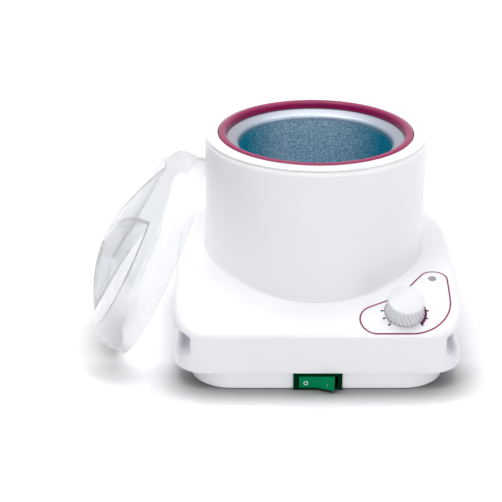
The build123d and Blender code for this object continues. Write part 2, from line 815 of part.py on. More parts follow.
def lid_plane():
    """Where the lid leans: its rim on the floor and against the sleeve."""
    azimuth, tilt, turn = radians(lid_azimuth), radians(lid_tilt), radians(lid_turn)
    axis = Vector(-cos(tilt) * cos(azimuth), -cos(tilt) * sin(azimuth), sin(tilt))
    level = Vector(-axis.Y, axis.X, 0).normalized()
    uphill = (Vector(0, 0, 1) - axis * axis.Z).normalized()
    bar = uphill * cos(turn) + level * sin(turn)
    height = lid_radius * cos(tilt)

    def gap(x):
        """The least distance from the rim to the sleeve, with the lid's centre at x."""
        least = 1000.0
        for step in range(720):
            turned_by = radians(step / 2)
            point = Vector(x, lid_side, height)
            point += (level * cos(turned_by) + uphill * sin(turned_by)) * lid_radius
            if base_top < point.Z < sleeve_top:
                rise = (sleeve_top - point.Z) / (sleeve_top - base_bottom)
                least = min(least, hypot(point.X, point.Y) - sleeve_radius - sleeve_foot_flare * rise)
        return least

    near, far = -sleeve_radius, -sleeve_radius - 2 * lid_radius
    for _ in range(40):
        middle = (near + far) / 2
        if gap(middle) > lid_gap:
            far = middle
        else:
            near = middle
    return Plane(origin=(far, lid_side, height), x_dir=bar, z_dir=axis)


def make_lid_dome():
    outside = lid_dome(0)
    for scoop in scoops(0):
        outside -= scoop
    inside = lid_dome(lid_wall)
    for scoop in scoops(lid_wall):
        inside -= scoop
    return lid_plane().location * (outside - inside)


def write(name, shape):
    """One STEP file for each piece; several solids of one piece go in together."""
    solids = Compound(children=list(shape)) if isinstance(shape, list) else shape
    export_step(solids, f"parts/{name}.step")


makers = {
    "housing_shell": make_housing_shell,
    "base_tray": make_base_tray,
    "rubber_feet": make_rubber_feet,
    "housing_screws": make_housing_screws,
    "collar_ring": make_collar_ring,
    "trim_ring": make_trim_ring,
    "well_gasket": make_well_gasket,
    "heating_well": make_heating_well,
    "heater_band": make_heater_band,
    "band_clamp": make_band_clamp,
    "heater_terminals": make_heater_terminals,
    "well_bracket": make_well_bracket,
    "earth_tag": make_earth_tag,
    "well_nut": make_well_nut,
    "sensing_bulb": make_sensing_bulb,
    "bulb_clip": make_bulb_clip,
    "thermal_fuse": make_thermal_fuse,
    "fuse_clip": make_fuse_clip,
    "thermostat_body": make_thermostat_body,
    "thermostat_nut": make_thermostat_nut,
    "thermostat_shaft": make_thermostat_shaft,
    "control_knob": make_control_knob,
    "lamp_lens": make_lamp_lens,
    "lamp_body": make_lamp_body,
    "lamp_clip": make_lamp_clip,
    "switch_bezel": make_switch_bezel,
    "switch_terminals": make_switch_terminals,
    "switch_rocker": make_switch_rocker,
    "mains_inlet": make_mains_inlet,
    "inlet_pins": make_inlet_pins,
    "terminal_block": make_terminal_block,
    "lid_dome": make_lid_dome,
}

for name, maker in makers.items():
    print("making", name)
    write(name, maker())
for name, wire in make_leads().items():
    write(name, wire)
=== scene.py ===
import json
import math

import bpy
import numpy as np
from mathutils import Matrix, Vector


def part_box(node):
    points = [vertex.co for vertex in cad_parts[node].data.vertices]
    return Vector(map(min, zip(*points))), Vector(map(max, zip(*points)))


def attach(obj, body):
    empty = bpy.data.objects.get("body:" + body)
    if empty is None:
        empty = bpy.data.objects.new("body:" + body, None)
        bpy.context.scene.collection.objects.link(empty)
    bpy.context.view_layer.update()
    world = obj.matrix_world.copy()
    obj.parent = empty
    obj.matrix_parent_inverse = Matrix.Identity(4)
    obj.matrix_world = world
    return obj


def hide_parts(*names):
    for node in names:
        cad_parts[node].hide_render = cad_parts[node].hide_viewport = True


# Looks for a salon wax warmer: glossy white housing, spun metal well under a maroon ring,
# fluted dial, green rocker and a clear lid leaning at the left. Metres throughout.

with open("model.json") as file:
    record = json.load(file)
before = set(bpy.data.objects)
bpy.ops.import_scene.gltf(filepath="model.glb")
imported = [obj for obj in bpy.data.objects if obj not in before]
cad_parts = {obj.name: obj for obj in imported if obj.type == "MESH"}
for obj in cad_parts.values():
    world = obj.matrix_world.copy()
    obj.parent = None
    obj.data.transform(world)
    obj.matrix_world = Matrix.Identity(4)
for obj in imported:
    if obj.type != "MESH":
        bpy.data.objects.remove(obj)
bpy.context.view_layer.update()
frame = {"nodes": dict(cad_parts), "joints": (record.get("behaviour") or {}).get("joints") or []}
mm = 0.001


# node helpers

def hexColour(text):
    # sRGB hex to the linear colour that the shader takes
    parts = [int(text[i:i + 2], 16) / 255 for i in (0, 2, 4)]
    return tuple(p / 12.92 if p <= 0.04045 else ((p + 0.055) / 1.055) ** 2.4 for p in parts) + (1.0,)


def feed(tree, socket, value):
    # links another node's socket, or sets a number or colour on this one
    if isinstance(value, bpy.types.NodeSocket):
        tree.links.new(value, socket)
    else:
        socket.default_value = value


def newMaterial(name):
    material = bpy.data.materials.new(name)
    material.use_nodes = True
    nodes = material.node_tree.nodes
    nodes.clear()
    out = nodes.new("ShaderNodeOutputMaterial")
    shader = nodes.new("ShaderNodeBsdfPrincipled")
    material.node_tree.links.new(shader.outputs[0], out.inputs[0])
    return material, material.node_tree, shader


def objectPoint(tree):
    return tree.nodes.new("ShaderNodeTexCoord").outputs["Object"]


def objectAxes(tree):
    # the x, y and z of a point of the piece, as sockets
    split = tree.nodes.new("ShaderNodeSeparateXYZ")
    tree.links.new(objectPoint(tree), split.inputs[0])
    return split.outputs


def mathNode(tree, operation, first, second=0.0, clamp=False):
    node = tree.nodes.new("ShaderNodeMath")
    node.operation = operation
    node.use_clamp = clamp
    feed(tree, node.inputs[0], first)
    feed(tree, node.inputs[1], second)
    return node.outputs[0]


def rangeNode(tree, source, low, high, toLow=0.0, toHigh=1.0):
    # toLow where the source is low, toHigh where it is high, straight in between and level beyond
    node = tree.nodes.new("ShaderNodeMapRange")
    feed(tree, node.inputs[0], source)
    for name, value in (("From Min", low), ("From Max", high), ("To Min", toLow), ("To Max", toHigh)):
        feed(tree, node.inputs[name], value)
    return node.outputs[0]


def mixColours(tree, factor, first, second):
    mix = tree.nodes.new("ShaderNodeMix")
    mix.data_type = "RGBA"
    feed(tree, mix.inputs["Factor"], factor)
    feed(tree, mix.inputs["A"], first)
    feed(tree, mix.inputs["B"], second)
    return mix.outputs["Result"]


def noiseNode(tree, scale, detail=3.0):
    # noise on object coordinates, its features 1/scale metres wide
    noise = tree.nodes.new("ShaderNodeTexNoise")
    noise.inputs["Scale"].default_value = scale
    noise.inputs["Detail"].default_value = detail
    tree.links.new(objectPoint(tree), noise.inputs["Vector"])
    return noise.outputs[0]


def rampNode(tree, source, low, high, start=0.3, end=0.7):
    ramp = tree.nodes.new("ShaderNodeValToRGB")
    ramp.color_ramp.elements[0].position = start
    ramp.color_ramp.elements[1].position = end
    ramp.color_ramp.elements[0].color = low
    ramp.color_ramp.elements[1].color = high
    tree.links.new(source, ramp.inputs[0])
    return ramp.outputs[0]


def addBump(tree, shader, source, distance, strength):
    bump = tree.nodes.new("ShaderNodeBump")
    bump.inputs["Distance"].default_value = distance
    bump.inputs["Strength"].default_value = strength
    tree.links.new(source, bump.inputs["Height"])
    tree.links.new(bump.outputs[0], shader.inputs["Normal"])


# stock finishes

stock = {"cloudScale": 18.0, "skinStrength": 0.25, "coatRoughness": 0.08, "ior": 1.5, "plasticSpread": 0.15,
         "speckleStrength": 0.3, "metalSpread": 0.2}


def varyRoughness(tree, shader, source, middle, spread):
    # from spread below the middle value to spread above it, as shares of that value
    varied = rangeNode(tree, source, 0.0, 1.0, middle * (1 - spread), middle * (1 + spread))
    tree.links.new(varied, shader.inputs["Roughness"])


def plastic(name, colour, roughness=0.28, coat=0.25, mottle=0.02, grain=2600.0, depth=0.01 * mm, gloss=0.5):
    # moulded plastic: the colour in faint clouds, up to mottle darker, with a fine skin
    material, tree, shader = newMaterial(name)
    base = hexColour(colour)
    darker = tuple(c * (1 - mottle) for c in base[:3]) + (1.0,)
    cloud = noiseNode(tree, stock["cloudScale"])
    tree.links.new(rampNode(tree, cloud, darker, base), shader.inputs["Base Color"])
    varyRoughness(tree, shader, cloud, roughness, stock["plasticSpread"])
    addBump(tree, shader, noiseNode(tree, grain, detail=2.0), depth, stock["skinStrength"])
    shader.inputs["Coat Weight"].default_value = coat
    shader.inputs["Coat Roughness"].default_value = stock["coatRoughness"]
    shader.inputs["IOR"].default_value = stock["ior"]
    shader.inputs["Specular IOR Level"].default_value = gloss
    return material


def metal(name, colour, roughness=0.3, shade=0.82, grain=900.0, depth=0.01 * mm):
    # bare metal: a fine speckle between the colour and its shade, which is that share of it
    material, tree, shader = newMaterial(name)
    base = hexColour(colour)
    darker = tuple(c * shade for c in base[:3]) + (1.0,)
    speckle = noiseNode(tree, grain, detail=2.0)
    tree.links.new(rampNode(tree, speckle, darker, base), shader.inputs["Base Color"])
    varyRoughness(tree, shader, speckle, roughness, stock["metalSpread"])
    addBump(tree, shader, speckle, depth, stock["speckleStrength"])
    shader.inputs["Metallic"].default_value = 1.0
    return material


# mesh helpers

def newPiece(name, vertices, faces, material, body, smooth=True):
    mesh = bpy.data.meshes.new(name)
    mesh.from_pydata(vertices.tolist(), [], faces)
    mesh.update()
    mesh.polygons.foreach_set("use_smooth", [smooth] * len(mesh.polygons))
    mesh.materials.append(material)
    piece = bpy.data.objects.new(name, mesh)
    bpy.context.scene.collection.objects.link(piece)
    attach(piece, body)
    return piece


def gridFaces(rows, columns, wrapRows=False):
    # a quad from each vertex to the next column, the next row and back; the columns close round
    row = np.arange(rows if wrapRows else rows - 1)[:, None]
    column = np.arange(columns)[None, :]
    nextRow = (row + 1) % rows
    nextColumn = (column + 1) % columns
    corners = (row * columns + column, row * columns + nextColumn,
               nextRow * columns + nextColumn, nextRow * columns + column)
    return np.stack(corners, axis=-1).reshape(-1, 4).tolist()


def poleFaces(rows, columns):
    # triangles from the first and the last row to two poles, the vertices that follow the grid
    column = np.arange(columns)
    nextColumn = (column + 1) % columns
    lastRow = (rows - 1) * columns
    pole = rows * columns + 0 * column
    start = np.stack([pole, nextColumn, column], axis=-1)
    end = np.stack([pole + 1, lastRow + column, lastRow + nextColumn], axis=-1)
    return np.stack([start, end], axis=1).reshape(-1, 3).tolist()


def rounded(corners, steps=8):
    # an outline of (x, y, radius) corners. Each becomes an arc about corner + middle * radius / sin(half),
    # which starts and ends radius / tan(half) from the corner along its two sides
    points = []
    count = len(corners)
    for i, (x, y, radius) in enumerate(corners):
        here = np.array([x, y])
        if radius <= 0:
            points.append(here)
            continue
        toPrev = np.array(corners[i - 1][:2]) - here
        toNext = np.array(corners[(i + 1) % count][:2]) - here
        toPrev, toNext = toPrev / np.linalg.norm(toPrev), toNext / np.linalg.norm(toNext)
        half = math.acos(np.clip(toPrev @ toNext, -1, 1)) / 2
        middle = (toPrev + toNext) / np.linalg.norm(toPrev + toNext)
        centre = here + middle * radius / math.sin(half)
        start = here + toPrev * radius / math.tan(half) - centre
        end = here + toNext * radius / math.tan(half) - centre
        swing = math.atan2(start[0] * end[1] - start[1] * end[0], start @ end)
        turn = np.linspace(0, swing, steps)[:, None]
        across = np.array([-start[1], start[0]])
        points.extend(centre + start * np.cos(turn) + across * np.sin(turn))
    return np.array(points)


def lathe(name, outline, material, body, segments=192, closed=True):
    # x = radius * cos(turn), y = radius * sin(turn), z = height for an outline of (radius, height) points,
    # counter-clockwise seen with the radius to the right. An open one starts and ends on the axis
    turn = np.linspace(0, 2 * math.pi, segments, endpoint=False)
    rings = outline if closed else outline[1:-1]
    radius = rings[:, :1]
    height = rings[:, 1:]
    grid = np.stack([radius * np.cos(turn), radius * np.sin(turn), height + 0 * turn], axis=-1)
    grid = grid.reshape(-1, 3)
    faces = gridFaces(len(rings), segments, wrapRows=closed)
    if not closed:
        grid = np.vstack([grid, (0, 0, outline[0, 1]), (0, 0, outline[-1, 1])])
        faces += poleFaces(len(rings), segments)
    return newPiece(name, grid, faces, material, body)


print("scene: helpers ready")


# frame measures

def span(node):
    low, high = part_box(node)
    return np.array(low), np.array(high)


joints = {joint["name"]: joint for joint in frame["joints"]}
shellTop = span("housing_shell")[1][2]
trimLow, trimHigh = span("trim_ring")
wellLow, wellHigh = span("heating_well")
dialPlace = np.array(joints["knob_turn"]["pos_m"])
dialAxis = np.array(joints["knob_turn"]["axis"])
dialLean = math.asin(-dialAxis[1])

# the base's top: level behind start, then an arc of this radius down to the front
slope = {"start": -23.5 * mm, "radius": 120 * mm}
slope["top"] = dialPlace[2] + slope["radius"] * (1 - dialAxis[2])


def onSlope(across, along, lift=0.0):
    # across metres to the right of the dial and along metres up the slope from it. The lean there is
    # dialLean - along / radius. Above 0 it is on the arc, y = start - (radius + lift) * sin(lean),
    # z = top - radius + (radius + lift) * cos(lean). Below 0 the top is level
    lean = dialLean - np.asarray(along) / slope["radius"]
    curved = np.maximum(lean, 0.0)
    y = slope["start"] - (slope["radius"] + lift) * np.sin(curved) - slope["radius"] * np.minimum(lean, 0.0)
    z = slope["top"] - slope["radius"] + (slope["radius"] + lift) * np.cos(curved)
    return np.stack([dialPlace[0] + np.asarray(across) + 0 * y, y, z], axis=-1)


def onDial(across, along, lift=0.0):
    # the dial's own plane: its centre + across to the right + along uphill + lift out along the shaft
    right = np.array([1.0, 0, 0])
    uphill = np.cross(dialAxis, right)
    across, along, lift = np.broadcast_arrays(across, along, lift)
    return dialPlace + across[..., None] * right + along[..., None] * uphill + lift[..., None] * dialAxis


# CAD pieces that stay: welded, smoothed by angle and painted

def dress(node, material, angle=28, weldReach=0.002 * mm):
    piece = frame["nodes"][node]
    mesh = piece.data
    if "custom_normal" in mesh.attributes:
        mesh.attributes.remove(mesh.attributes["custom_normal"])
    mesh.polygons.foreach_set("use_smooth", [True] * len(mesh.polygons))
    mesh.materials.clear()
    mesh.materials.append(material)
    weld = piece.modifiers.new("weld", "WELD")
    weld.merge_threshold = weldReach
    split = piece.modifiers.new("split", "EDGE_SPLIT")
    split.split_angle = math.radians(angle)
    split.use_edge_sharp = False
    even = piece.modifiers.new("even", "WEIGHTED_NORMAL")
    even.keep_sharp = True


# white mouldings: shell and collar with a soft shoulder, the tray a touch duller; the shell has a painted
# highlight at the shoulder and painted shade inside the grips

shell = {"colour": "f0f0f3", "roughness": 0.30, "coat": 0.3, "tray": "f2f3f6",
         "shoulder": 2.4 * mm, "shoulderReach": 3.4 * mm, "shoulderColour": "fdfdfe",
         "gripShade": "c4c5ce", "gripInner": 83.5 * mm, "gripOuter": 87.5 * mm, "gripTop": 36.5 * mm,
         "gripFront": -90.0 * mm, "gripFade": 20.0 * mm, "gripBack": 30.4 * mm}


def shellMaterial():
    # white plastic, rounder at the shoulder under the collar with a painted highlight along it, painted
    # shade inside the hand grips
    material = plastic("shellPlastic", shell["colour"], shell["roughness"], shell["coat"])
    tree = material.node_tree
    shader = next(node for node in tree.nodes if node.type == "BSDF_PRINCIPLED")
    white = shader.inputs["Base Color"].links[0].from_socket
    bump = shader.inputs["Normal"].links[0].from_node
    axes = objectAxes(tree)
    # the bevel's radius grows from nothing to the shoulder's on the way up to it
    radius = rangeNode(tree, axes["Z"], shellTop - shell["shoulderReach"], shellTop - shell["shoulder"],
                       0.0, shell["shoulder"])
    bevel = tree.nodes.new("ShaderNodeBevel")
    bevel.samples = 8
    tree.links.new(radius, bevel.inputs["Radius"])
    tree.links.new(bevel.outputs[0], bump.inputs["Normal"])
    # painted shade inside a grip: in from the side wall, below the roof, between the front end and the back
    # one
    inward = rangeNode(tree, mathNode(tree, "ABSOLUTE", axes["X"]), shell["gripOuter"], shell["gripInner"])
    below = mathNode(tree, "LESS_THAN", axes["Z"], shell["gripTop"])
    behind = rangeNode(tree, axes["Y"], shell["gripFront"], shell["gripFront"] + shell["gripFade"])
    ahead = mathNode(tree, "LESS_THAN", axes["Y"], shell["gripBack"])
    between = mathNode(tree, "MULTIPLY", below, mathNode(tree, "MULTIPLY", behind, ahead))
    within = mathNode(tree, "MULTIPLY", between, inward)
    shaded = mixColours(tree, within, white, hexColour(shell["gripShade"]))
    # painted highlight: the shoulder's colour turns paler as the bevel grows
    paintedShoulderHighlight = mathNode(tree, "DIVIDE", radius, shell["shoulder"])
    highlightedColour = mixColours(tree, paintedShoulderHighlight, shaded, hexColour(shell["shoulderColour"]))
    tree.links.new(highlightedColour, shader.inputs["Base Color"])
    return material


shellPlastic = shellMaterial()
for node in ("housing_shell", "collar_ring"):
    dress(node, shellPlastic)
dress("base_tray", plastic("trayPlastic", shell["tray"], roughness=0.34, coat=0.2))


# what the housing holds, and the feet under it

inside = {"steel": "b9bcc2", "brass": "d3b274", "copper": "c98a63", "inlet": "1c1c1e", "block": "dcdad2",
          "foot": "2b2b2d", "gasket": "a9543c", "neon": "d9823f"}
leadColours = {"lead_live": "6b3f26", "lead_neutral": "2f62a8", "lead_earth": "6f9a34",
               "lead_switched": "6b3f26", "lead_heater": "7a3b2a", "lead_return": "2f62a8"}

steel = metal("platedSteel", inside["steel"], 0.32)
brass = metal("terminalBrass", inside["brass"])
copper = metal("bulbCopper", inside["copper"])
blockPlastic = plastic("blockPlastic", inside["block"], roughness=0.45, coat=0.05)

for node in ("heater_band", "band_clamp", "well_bracket", "well_nut", "bulb_clip", "fuse_clip",
             "thermal_fuse", "thermostat_nut", "thermostat_shaft", "lamp_clip", "housing_screws"):
    dress(node, steel)
for node in ("heater_terminals", "earth_tag", "switch_terminals", "inlet_pins"):
    dress(node, brass)
for node in ("sensing_bulb", "capillary_tube"):
    dress(node, copper)
for node in ("thermostat_body", "terminal_block"):
    dress(node, blockPlastic)
for node, colour in leadColours.items():
    dress(node, plastic(node + "Sleeve", colour, roughness=0.4, coat=0.1, mottle=0.1))
dress("mains_inlet", plastic("blackPlastic", inside["inlet"], roughness=0.45, coat=0.05, mottle=0.15))
dress("rubber_feet", plastic("footRubber", inside["foot"], roughness=0.75, coat=0.0, mottle=0.2, grain=900.0,
                             depth=0.03 * mm))
dress("well_gasket", plastic("silicone", inside["gasket"], roughness=0.6, coat=0.0))
dress("lamp_body", plastic("neonGlass", inside["neon"], roughness=0.15, coat=0.6))
print("scene: CAD pieces dressed")


# trim ring: maroon lip with a soft round top, spun about the well

trim = {"bore": 56.6 * mm, "topRadius": 2.1 * mm, "footRadius": 0.4 * mm, "colour": "960e54"}
trimRim = trimHigh[0]
maroon = plastic("maroonPlastic", trim["colour"], roughness=0.26, coat=0.05, mottle=0.12, gloss=0.3)
outline = rounded([
    (trim["bore"], trimLow[2], trim["footRadius"]), (trimRim, trimLow[2], trim["footRadius"]),
    (trimRim, trimHigh[2], trim["topRadius"]), (trim["bore"], trimHigh[2], trim["topRadius"])], 9)
piece = lathe("trimRing", outline, maroon, "housing")
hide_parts("trim_ring")


# heating well: spun pot with a dished flange, a rolled lip and its stud; faint turning lines
# flat is the radius where the flange turns level, and under... are the same corners on the sheet's underside

well = {"wall": 1.5 * mm, "bore": 48.5 * mm, "depth": 83.0 * mm, "corner": 8.0 * mm, "lip": 3.0 * mm,
        "drop": 2.6 * mm, "flat": 55.5 * mm, "flatBend": 2.5 * mm, "rimEdge": 0.5 * mm,
        "underFlat": 55.9 * mm, "underDrop": 2.1 * mm, "underBend": 1.2 * mm, "underEdge": 0.3 * mm,
        "stud": 3.0 * mm, "studEdge": 0.3 * mm, "studFoot": 0.4 * mm,
        "flange": "aaaeb9", "wallDark": "769db2", "wallLight": "c6deec", "sideDark": "00607c",
        "sideLight": "08b0cc", "shineFrom": 7.0 * mm, "shineTo": 1.5 * mm, "speckle": 1100.0,
        "speckleFrom": 0.4, "speckleTo": 0.63, "sideFrom": 0.45, "sideTo": 0.9, "turningLines": 260.0,
        "lineWobble": 0.4, "lineDepth": 0.02 * mm, "lineStrength": 0.15, "wallRoughness": 0.5,
        "flangeRoughness": 0.36, "wallMetal": 0.35, "specular": 0.1}


def wellMetal():
    # silvery flange; below it a blue-grey speckled wall with painted teal shade at left and right; turning
    # rings
    material, tree, shader = newMaterial("spunAluminium")
    axes = objectAxes(tree)
    height = rangeNode(tree, axes["Z"], wellHigh[2] - well["shineFrom"], wellHigh[2] - well["shineTo"])
    grain = noiseNode(tree, well["speckle"], detail=5.0)
    middle, sides = [rampNode(tree, grain, hexColour(well[dark]), hexColour(well[light]),
                              well["speckleFrom"], well["speckleTo"])
                     for dark, light in (("wallDark", "wallLight"), ("sideDark", "sideLight"))]
    # painted shade: the wall turns darker teal towards the left and right
    outward = rangeNode(tree, mathNode(tree, "ABSOLUTE", axes["X"]),
                        well["sideFrom"] * well["bore"], well["sideTo"] * well["bore"])
    wall = mixColours(tree, outward, middle, sides)
    tree.links.new(mixColours(tree, height, wall, hexColour(well["flange"])), shader.inputs["Base Color"])
    tree.links.new(rangeNode(tree, height, 0.0, 1.0, well["wallRoughness"], well["flangeRoughness"]),
                   shader.inputs["Roughness"])
    tree.links.new(rangeNode(tree, height, 0.0, 1.0, well["wallMetal"], 1.0), shader.inputs["Metallic"])
    wave = tree.nodes.new("ShaderNodeTexWave")
    wave.wave_type = "RINGS"
    wave.rings_direction = "Z"
    wave.inputs["Scale"].default_value = well["turningLines"]
    wave.inputs["Distortion"].default_value = well["lineWobble"]
    tree.links.new(objectPoint(tree), wave.inputs["Vector"])
    addBump(tree, shader, wave.outputs[1], well["lineDepth"], well["lineStrength"])
    shader.inputs["Specular IOR Level"].default_value = well["specular"]
    return material


flangeTop = wellHigh[2]
flangeUnder = flangeTop - well["wall"]
flangeRim = wellHigh[0]
wellFloor = flangeTop - well["depth"]
outside = well["bore"] + well["wall"]
studTop = wellFloor - well["wall"]
outline = rounded([
    (0, wellLow[2], 0), (well["stud"], wellLow[2], well["studEdge"]),
    (well["stud"], studTop, well["studFoot"]), (outside, studTop, well["corner"] + well["wall"]),
    (outside, flangeUnder - well["underDrop"], well["lip"] - well["wall"]),
    (well["underFlat"], flangeUnder, well["underBend"]), (flangeRim, flangeUnder, well["underEdge"]),
    (flangeRim, flangeTop, well["rimEdge"]), (well["flat"], flangeTop, well["flatBend"]),
    (well["bore"], flangeTop - well["drop"], well["lip"]), (well["bore"], wellFloor, well["corner"]),
    (0, wellFloor, 0)], 10)
piece = lathe("spunWell", outline, wellMetal(), "housing", closed=False)
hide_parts("heating_well")
print("scene: well and trim ring")


# dial knob: leaning flutes round the side, a smooth white crown and a pointer line
# the flutes start at footShare of their depth, and fade over fadeFoot and fadeTop; angles in degrees

# side is the painted shade colour down in the flutes
knob = {"radius": 11.7 * mm, "taper": 0.6 * mm, "gap": 0.6 * mm, "height": 12.4 * mm, "crown": 1.6 * mm,
        "edge": 1.1 * mm, "flutes": 28, "depth": 0.6 * mm, "sharpness": 1.5, "lean": 22.0,
        "fadeTop": 1.2 * mm, "fadeFoot": 0.6 * mm, "footShare": 0.4, "skirt": 2.0 * mm, "hollow": 4.6 * mm,
        "shaftHole": 3.05 * mm, "colour": "e3e4e6", "side": "c6c9d0", "roughness": 0.34, "coat": 0.2,
        "skinScale": 2200.0, "skinDepth": 0.01 * mm, "pointerTurn": 30.0, "pointerFrom": 0.5 * mm,
        "pointerTo": 8.5 * mm, "pointerHalf": 0.35 * mm, "pointerColour": "dcdee2"}
knobCrownRadius = knob["radius"] - knob["taper"] - knob["edge"]


def knobMaterial():
    # white moulding with painted shade, greyer down in the flutes
    material, tree, shader = newMaterial("knobPlastic")
    pit = tree.nodes.new("ShaderNodeAttribute")
    pit.attribute_name = "flute"
    ramp = rampNode(tree, pit.outputs["Fac"], hexColour(knob["colour"]), hexColour(knob["side"]), 0.0, 1.0)
    tree.links.new(ramp, shader.inputs["Base Color"])
    skin = noiseNode(tree, knob["skinScale"], detail=2.0)
    addBump(tree, shader, skin, knob["skinDepth"], stock["skinStrength"])
    shader.inputs["Roughness"].default_value = knob["roughness"]
    shader.inputs["Coat Weight"].default_value = knob["coat"]
    return material


def buildKnob():
    # radius = profile(row) - depth * flute, and
    # flute = fade * (0.5 - 0.5 * cos(flutes * (turn + shear * height))) to the power of sharpness
    turn = np.linspace(0, 2 * math.pi, knob["flutes"] * 12, endpoint=False)
    sideTop = knob["height"] - knob["edge"]
    ceiling = knob["gap"] + knob["hollow"]
    skirtInner = knob["radius"] - knob["skirt"]
    # side: straight taper, its flutes fading out at both ends
    up = np.linspace(knob["gap"], sideTop, 12)
    side = knob["radius"] - knob["taper"] * (up - knob["gap"]) / (sideTop - knob["gap"])
    fade = np.clip((sideTop - up) / knob["fadeTop"], 0, 1)
    fade = fade * np.clip((up - knob["gap"]) / knob["fadeFoot"] + knob["footShare"], 0, 1)
    # edge: a quarter round; crown: height + crown * (1 - part squared)
    bend = np.linspace(0, math.pi / 2, 7)[1:]
    part = np.linspace(1, 0, 12)[1:-1]
    # profile from the skirt's hollow, out and up to the crown
    radius = np.concatenate([[knob["shaftHole"], skirtInner, skirtInner], side,
                             knobCrownRadius + knob["edge"] * np.cos(bend), knobCrownRadius * part])[:, None]
    height = np.concatenate([[ceiling, ceiling, knob["gap"]], up, sideTop + knob["edge"] * np.sin(bend),
                             knob["height"] + knob["crown"] * (1 - part ** 2)])[:, None]
    fade = np.concatenate([np.zeros(3), fade, np.zeros(len(bend) + len(part))])[:, None]
    shear = math.tan(math.radians(knob["lean"])) / knob["radius"]
    flute = fade * (0.5 - 0.5 * np.cos(knob["flutes"] * (turn + shear * height))) ** knob["sharpness"]
    radius = radius - knob["depth"] * flute
    grid = onDial(radius * np.cos(turn), radius * np.sin(turn), height).reshape(-1, 3)
    poles = onDial(0.0, 0.0, np.array([ceiling, knob["height"] + knob["crown"]]))
    faces = gridFaces(len(height), len(turn)) + poleFaces(len(height), len(turn))
    made = newPiece("dialKnob", np.vstack([grid, poles]), faces, knobMaterial(), "dial")
    layer = made.data.attributes.new("flute", "FLOAT", "POINT")
    layer.data.foreach_set("value", np.concatenate([flute.reshape(-1), [0, 0]]))
    return made


piece = buildKnob()
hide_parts("control_knob")


# printed marks: thin closed ribbons laid on a surface, from low to high above it. Angles are in degrees
# clockwise from straight up the slope, panelCorners are (across, along, radius) in mm from the dial's centre

marks = {"ink": "8c2a58", "navy": "0a2038", "wedge": "66204d", "low": 0.01 * mm, "high": 0.05 * mm,
         "lineWidth": 1.0 * mm,
         "panelCorners": ((-64.4, -15.9, 10.2), (28.5, -15.9, 24.8), (28.5, 36, 8.2), (15.5, 36, 8.2),
                          (-1.6, 12.6, 30)),
         "tickAngles": (-134, -111, -87, 30, 50, 87, 111, 134), "tickFrom": 12.8 * mm, "tickTo": 14.7 * mm,
         "tickWidth": 1.0 * mm, "sweep": 135.0, "wedgeInner": 11.95 * mm, "wedgeThin": 0.45 * mm,
         "wedgeThick": 2.1 * mm}


def ribbon(name, across, along, halfWidth, place, material, body, closed=False):
    # the centre line plus and minus halfWidth at a right angle to it, as a thin bar on the surface of place
    low, high = marks["low"], marks["high"]
    line = np.stack([across, along], axis=1)
    ahead = np.roll(line, -1, axis=0) - np.roll(line, 1, axis=0)
    if not closed:
        ahead[0], ahead[-1] = line[1] - line[0], line[-1] - line[-2]
    ahead /= np.linalg.norm(ahead, axis=1)[:, None]
    aside = np.stack([-ahead[:, 1], ahead[:, 0]], 1) * (halfWidth + 0 * across)[:, None]
    left = (line + aside).T
    right = (line - aside).T
    corners = [place(*left, low), place(*right, low), place(*right, high), place(*left, high)]
    vertices = np.stack(corners, axis=1).reshape(-1, 3)
    count = len(line)
    faces = gridFaces(count, 4, wrapRows=closed)
    if not closed:
        faces += [(3, 2, 1, 0), (4 * count - 4, 4 * count - 3, 4 * count - 2, 4 * count - 1)]
    return newPiece(name, vertices, faces, material, body, smooth=False)


def dense(points, step=0.4 * mm, closed=True):
    # the same outline in even steps of its own length
    loop = np.vstack([points, points[:1]]) if closed else np.asarray(points)
    length = np.concatenate([[0], np.cumsum(np.linalg.norm(np.diff(loop, axis=0), axis=1))])
    count = max(2, int(length[-1] / step))
    at = np.linspace(0, length[-1], count, endpoint=not closed)
    return np.interp(at, length, loop[:, 0]), np.interp(at, length, loop[:, 1])


def inked(name, colour):
    return plastic(name, marks[colour], roughness=0.5, coat=0.0, mottle=0.06, gloss=0.15)


ink = inked("maroonInk", "ink")
navyInk = inked("navyInk", "navy")
wedgeInk = inked("wedgeInk", "wedge")

# the line round dial and lamp: straight sides joined by arcs
loop = rounded([(x * mm, y * mm, r * mm) for x, y, r in marks["panelCorners"]], 24)
across, along = dense(loop)
ribbon("panelLine", across, along, marks["lineWidth"] / 2, onSlope, ink, "housing", closed=True)

for i, angle in enumerate(np.radians(marks["tickAngles"])):
    way = np.array([math.sin(angle), math.cos(angle)])
    ends = np.outer([marks["tickFrom"], marks["tickTo"]], way)
    across, along = dense(ends, closed=False)
    ribbon(f"dialTick{i}", across, along, marks["tickWidth"] / 2, onSlope, navyInk, "housing")

# the heat wedge: a ring that keeps its inner edge and thickens clockwise round the dial, mostly at the end
part = np.linspace(0, 1, 120)
turn = np.radians(marks["sweep"] * (2 * part - 1))
half = (marks["wedgeThin"] + (marks["wedgeThick"] - marks["wedgeThin"]) * part ** 3) / 2
centre = marks["wedgeInner"] + half
ribbon("heatWedge", centre * np.sin(turn), centre * np.cos(turn), half, onSlope, wedgeInk, "housing")


def onCrown(across, along, lift):
    # the knob's crown: height + crown * (1 - distance squared / crown radius squared)
    part = (across ** 2 + along ** 2) / knobCrownRadius ** 2
    return onDial(across, along, knob["height"] + knob["crown"] * (1 - part) + lift)


angle = math.radians(knob["pointerTurn"])
reach = np.linspace(knob["pointerFrom"], knob["pointerTo"], 12)
pointerInk = plastic("pointerInk", knob["pointerColour"], roughness=0.4, coat=0.0, mottle=0.06)
ribbon("dialPointer", -reach * math.sin(angle), reach * math.cos(angle), knob["pointerHalf"], onCrown,
       pointerInk, "dial")
print("scene: dial and its printing")


# rocker switch: dark bezel, green rocker with a ring on one half and a bar on the other; lamp lens

